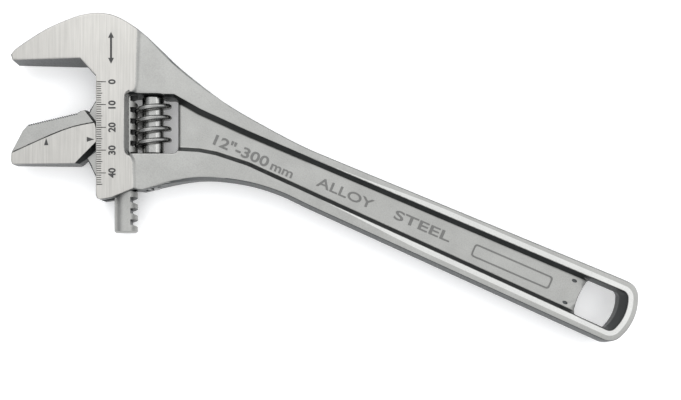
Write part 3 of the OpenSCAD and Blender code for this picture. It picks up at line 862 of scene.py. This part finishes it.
# ----------------------------------------
# The pin: turned steel, screwed in from the head's foot by its slotted end. The worm turns
# on its plain part, and its nose sits in a blind hole above the window.
# ----------------------------------------
PIN_R, PIN_END_R, PIN_LOW, PIN_SHOULDER, PIN_TOP, PIN_CHAMFER = 2.4, 3.4, -57.0, -41.7, -9.4, 0.5
GROOVES, GROOVE_START, GROOVE_DEPTH, GROOVE_HALF = 12, 1.5, 0.3, 0.35
DRIVER_WIDTH, DRIVER_DEPTH, DRIVER_CUT_HALF = 1.2, 1.4, 5
profile = [(PIN_END_R - PIN_CHAMFER, PIN_LOW), (PIN_END_R, PIN_LOW + PIN_CHAMFER)]
for k in range(GROOVES):
    v = PIN_LOW + GROOVE_START + k
    profile += [(PIN_END_R, v), (PIN_END_R - GROOVE_DEPTH, v + GROOVE_HALF),
                (PIN_END_R, v + 2 * GROOVE_HALF)]
profile += [(PIN_END_R, PIN_SHOULDER), (PIN_R, PIN_SHOULDER), (PIN_R, PIN_TOP - PIN_CHAMFER),
            (PIN_R - PIN_CHAMFER, PIN_TOP)]
pin_steel = steel("pin_steel", (0.30, 0.30, 0.30), 0.38, 1400, depth=0.2, spread=0.1, bump=0.1)
pin = as_object("slotted_pin", turned(profile, "pin", 0, BORE_STEPS), (pin_steel,))
driver = slab([(-DRIVER_WIDTH / 2, -2 * DRIVER_DEPTH), (DRIVER_WIDTH / 2, -2 * DRIVER_DEPTH),
               (DRIVER_WIDTH / 2, DRIVER_DEPTH), (-DRIVER_WIDTH / 2, DRIVER_DEPTH)],
              DRIVER_CUT_HALF, "driver")
driver.transform(Matrix.Translation((0, PIN_LOW, 0)))
cut_or_join(pin, as_object("tool", driver, (pin_steel,)), "DIFFERENCE")
pin.data.transform(IN_HEAD @ Matrix.Translation((WORM_U, 0, 0)))
shade(pin)
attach(pin, "frame")
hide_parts("worm_pin")

# ----------------------------------------
# The spring: a short coil of plain wire in the worm's counterbore, round the pin. It
# presses on the window's end and keeps the worm from turning by itself.
# ----------------------------------------
WIRE_R, COIL_R, COIL_TURNS, COIL_STEPS, COIL_FADE = 0.4, 3.0, 4.0, 160, 0.01
spring_steel = steel("spring_steel", (0.24, 0.24, 0.26), 0.34, 1400, depth=0.2, spread=0.08,
                     bump=0.05)
spring = wound("worm_coil", arc((0, 0), WIRE_R, 0, 324, 9), COIL_STEPS, {
    "Turns": COIL_TURNS, "Lead": (SPRING_LENGTH - 2 * WIRE_R) / COIL_TURNS, "Path Radius": COIL_R,
    "Fade": COIL_FADE, "Material": spring_steel})
spring.data.transform(AT_WORM @ Matrix.Translation((0, HALF_WORM - SPRING_LENGTH / 2, 0)))
shade(spring, 50)
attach(spring, "knurl")
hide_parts("worm_spring")

# ----------------------------------------
# The marks: a millimetre scale and its numbers, a double arrow along the slide and the
# jaw's two pointers, etched and blackened. Each is a thin black slab let into the face,
# with its top a few hundredths above it.
# ----------------------------------------
SCALE_ZERO_V, SCALE_LENGTH, TICK_WIDTH = -10.5, 45, 0.36
TICKS = ((2.4, 1), (2.9, 5), (4.5, 10))
MARK_DEPTH, HEAD_FACE, POINTER_PROUD = 0.1, 8.7, 0.04
NUMBER_U, NUMBER_HEIGHT, NUMBER_WEIGHT = 7.1, 3.3, 0.035

etched_black = steel("etched_black", (0.035, 0.035, 0.035), 0.6, 1500, depth=0.1, spread=0.1,
                     bump=0.02)
etched_black.node_tree.nodes["Principled BSDF"].inputs["Metallic"].default_value = 0.0


def mark(points, top):
    """One etched mark, from its plan and the height of its top."""
    mesh = slab(points, MARK_DEPTH / 2, "mark")
    mesh.transform(Matrix.Translation((0, 0, top - MARK_DEPTH / 2)))
    return mesh


def marks(name, objects, body):
    """Several etched marks as one piece."""
    mesh = merged(name, objects)
    mesh.polygons.foreach_set("material_index", [0] * len(mesh.polygons))
    piece = as_object(name, mesh, (etched_black,), IN_HEAD)
    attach(piece, body)


ticks = []
for length, spacing in TICKS:
    count = SCALE_LENGTH // spacing + 1
    low = SCALE_ZERO_V - (count - 1) * spacing
    tick = mark([(0.3, low - TICK_WIDTH / 2), (length, low - TICK_WIDTH / 2),
                 (length, low + TICK_WIDTH / 2), (0.3, low + TICK_WIDTH / 2)], HEAD_FACE)
    ticks.append(grown("tick", tick, row_tree, {"Count": count, "Spacing": float(spacing),
                                                "Material": etched_black}))
marks("scale_ticks", ticks, "frame")


def lettering(text, height, thick, finish, heavy):
    """Plain characters as a mesh, height tall, centred, lying face up."""
    curve = bpy.data.curves.new("characters", "FONT")
    curve.body, curve.size, curve.offset = text, 1.0, heavy
    curve.resolution_u = 4
    obj = bpy.data.objects.new("characters", curve)
    bpy.context.scene.collection.objects.link(obj)
    seen = obj.evaluated_get(bpy.context.evaluated_depsgraph_get())
    mesh = bpy.data.meshes.new_from_object(seen)
    bpy.data.objects.remove(obj)
    co = np.array([v.co for v in mesh.vertices])
    size = height / (co[:, 1].max() - co[:, 1].min())
    mid = (co.max(0) + co.min(0)) / 2
    mesh.transform(Matrix.Scale(size, 4) @ Matrix.Translation((-mid[0], -mid[1], 0)))
    body = bmesh.new()
    body.from_mesh(mesh)
    bmesh.ops.remove_doubles(body, verts=body.verts, dist=1e-5)
    raised = bmesh.ops.extrude_face_region(body, geom=list(body.faces))
    for v in (e for e in raised["geom"] if isinstance(e, bmesh.types.BMVert)):
        v.co.z += thick
    bmesh.ops.recalc_face_normals(body, faces=body.faces)
    body.to_mesh(mesh)
    body.free()
    mesh.polygons.foreach_set("use_smooth", [False] * len(mesh.polygons))
    return as_object("characters", mesh, (finish,))


numbers = []
for value in range(0, SCALE_LENGTH, 10):
    number = lettering(str(value), NUMBER_HEIGHT, MARK_DEPTH, etched_black, NUMBER_WEIGHT)
    number.data.transform(
        Matrix.Translation((NUMBER_U, SCALE_ZERO_V - value, HEAD_FACE - MARK_DEPTH))
        @ Matrix.Rotation(math.pi / 2, 4, "Z"))
    numbers.append(number)
marks("scale_numbers", numbers, "frame")

ARROW_U, ARROW_LOW, ARROW_HIGH = 6.7, -2.6, 11.4
ARROW_HALF, ARROW_HEAD, ARROW_LINE_HALF = 1.3, 2.6, 0.45
low_end, high_end = ARROW_LOW + ARROW_HEAD, ARROW_HIGH - ARROW_HEAD
arrow = [as_object("mark", mark(p, HEAD_FACE), (etched_black,)) for p in (
    [(ARROW_U - ARROW_HALF, high_end), (ARROW_U + ARROW_HALF, high_end), (ARROW_U, ARROW_HIGH)],
    [(ARROW_U + ARROW_HALF, low_end), (ARROW_U - ARROW_HALF, low_end), (ARROW_U, ARROW_LOW)],
    [(ARROW_U - ARROW_LINE_HALF, low_end), (ARROW_U + ARROW_LINE_HALF, low_end),
     (ARROW_U + ARROW_LINE_HALF, high_end), (ARROW_U - ARROW_LINE_HALF, high_end)])]
marks("slide_arrow", arrow, "frame")

# the jaw's face tapers, and its pointers follow it
pointers = []
for plan in ([(-23.5, -37.9), (-21.5, -37.9), (-22.5, -34.7)],
             [(-4.3, -36.6), (-0.9, -35.5), (-4.3, -34.4)]):
    pointer = mark(plan, MARK_DEPTH / 2)
    for corner in pointer.vertices:
        face = np.interp(corner.co.x, [JAW_TIP, JAW_FACE_U], [JAW_TIP_HALF, JAW_FACE])
        corner.co.z += face + POINTER_PROUD - MARK_DEPTH / 2
    pointers.append(as_object("mark", pointer, (etched_black,)))
marks("jaw_pointers", pointers, "jaw")

# ----------------------------------------
# The handle's marks stand up a little from the recess's floor, forged with the blank: the
# size, the kind of steel and a plain panel.
# ----------------------------------------
RAISED, SUNK = 0.22, 0.05
PANEL_X, PANEL_LENGTH, PANEL_HEIGHT, PANEL_LINE = 205.7, 38.0, 6.0, 0.7
PANEL_ROUND, PANEL_INNER_ROUND = 1.6, 1.2

# the raised marks are chrome painted darker than the recess, painted shade standing in for the
# shade along their edges
raised_chrome_painted_shade = steel("raised_chrome_painted_shade", (0.165, 0.165, 0.16), 0.40, 1700, depth=0.15, spread=0.08,
                      bump=0.1, cloud=0.1)


def raised_mark(name, pieces):
    """Raised marks on the recess's floor as one piece; each is (mesh object, x, y)."""
    for piece, x, y in pieces:
        piece.data.transform(Matrix.Translation((x, y, WEB_HALF - SUNK)))
    obj = as_object(name, merged(name, [piece for piece, x, y in pieces]), (raised_chrome_painted_shade,),
                    IN_HANDLE)
    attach(obj, "frame")


def at_length(text, height, length, heavy):
    """Characters of this height, spread to this length."""
    obj = lettering(text, height, RAISED + SUNK, raised_chrome_painted_shade, heavy)
    xs = [v.co.x for v in obj.data.vertices]
    obj.data.transform(Matrix.Diagonal((length / (max(xs) - min(xs)), 1, 1, 1)))
    return obj


raised_mark("size_mark", [(at_length('12"-300', 4.9, 26.3, 0.022), 74.6, -0.8),
                          (at_length("mm", 2.8, 10.5, 0.02), 94.5, -1.9)])
raised_mark("steel_mark", [(at_length("ALLOY", 4.3, 27, 0.015), 124.5, 0.4),
                           (at_length("STEEL", 4.3, 27, 0.015), 162.0, 0.7)])


def panel_outline(length, height, r):
    """A round-cornered oblong about the middle."""
    x, y = length / 2, height / 2
    return rounded([(-x, -y), (x, -y), (x, y), (-x, y)], r)


outer = panel_outline(PANEL_LENGTH, PANEL_HEIGHT, PANEL_ROUND)
inner = panel_outline(PANEL_LENGTH - 2 * PANEL_LINE, PANEL_HEIGHT - 2 * PANEL_LINE,
                      PANEL_INNER_ROUND)
panel = as_object("panel", slab(outer, RAISED, "panel"), (raised_chrome_painted_shade,))
cut_or_join(panel, as_object("tool", slab(inner, 1, "inner"), (raised_chrome_painted_shade,)), "DIFFERENCE")
raised_mark("blank_panel", [(panel, PANEL_X, 0)])

# ----------------------------------------
# The floor, the soft studio light and the camera, in metres. The camera looks straight
# down and is turned with the head.
# ----------------------------------------
FLOOR = 2.5
SIDE_REACH, SIDE_HEIGHT, SIDE_SIZE, SIDE_WATTS = 1.2, 0.9, 1.0, 3.8
CAMERA_SPOT, FRAMING = (-0.01595, -0.03277, 0.3574), (0.133, 0.095)
SENSOR_WIDTH, LENS = 36, 40.98

scene = bpy.context.scene
scene.view_settings.view_transform = "Standard"
floor_mat = bpy.data.materials.new("pale_floor")
floor_mat.use_nodes = True
floor_skin = floor_mat.node_tree.nodes["Principled BSDF"]
floor_skin.inputs["Base Color"].default_value = (0.93, 0.93, 0.93, 1)
floor_skin.inputs["Roughness"].default_value = 0.9
# a little light of its own, like a light table's, keeps the shadows pale
floor_skin.inputs["Emission Color"].default_value = (1, 1, 1, 1)
floor_skin.inputs["Emission Strength"].default_value = 0.2
floor_mesh = bpy.data.meshes.new("floor")
floor_mesh.from_pydata([(-FLOOR, -FLOOR, 0), (FLOOR, -FLOOR, 0), (FLOOR, FLOOR, 0),
                        (-FLOOR, FLOOR, 0)], [], [(0, 1, 2, 3)])
floor = as_object("floor", floor_mesh, (floor_mat,))

world = bpy.data.worlds.new("studio")
scene.world = world
world.use_nodes = True
world.node_tree.nodes["Background"].inputs["Color"].default_value = (0.95, 0.97, 1.0, 1)
world.node_tree.nodes["Background"].inputs["Strength"].default_value = 0.55


def soft_light(name, spot, aim, size, watts):
    """A square area light at a spot, turned to its aim."""
    lamp = bpy.data.lights.new(name, "AREA")
    lamp.shape, lamp.size, lamp.energy = "SQUARE", size, watts
    obj = bpy.data.objects.new(name, lamp)
    obj.location = spot
    obj.rotation_euler = (Vector(aim) - Vector(spot)).to_track_quat("-Z", "Y").to_euler()
    scene.collection.objects.link(obj)


soft_light("key", (-0.32, 0.62, 0.75), (-0.02, 0, 0), 1.0, 1.8)
soft_light("top", (0.0, 0.0, 1.2), (0, 0, 0), 2.1, 12)
for turn in (30, 150, 270):
    soft_light("side_%d" % turn, (SIDE_REACH * math.cos(math.radians(turn)),
                                  SIDE_REACH * math.sin(math.radians(turn)), SIDE_HEIGHT),
               (0, 0, 0), SIDE_SIZE, SIDE_WATTS)

camera = bpy.data.objects.new("camera", bpy.data.cameras.new("camera"))
camera.location = CAMERA_SPOT
camera.rotation_euler = (0, 0, HEAD_TURN)
camera.data.sensor_width = SENSOR_WIDTH
camera.data.lens = LENS
camera.data.shift_x, camera.data.shift_y = FRAMING
scene.collection.objects.link(camera)
scene.camera = camera
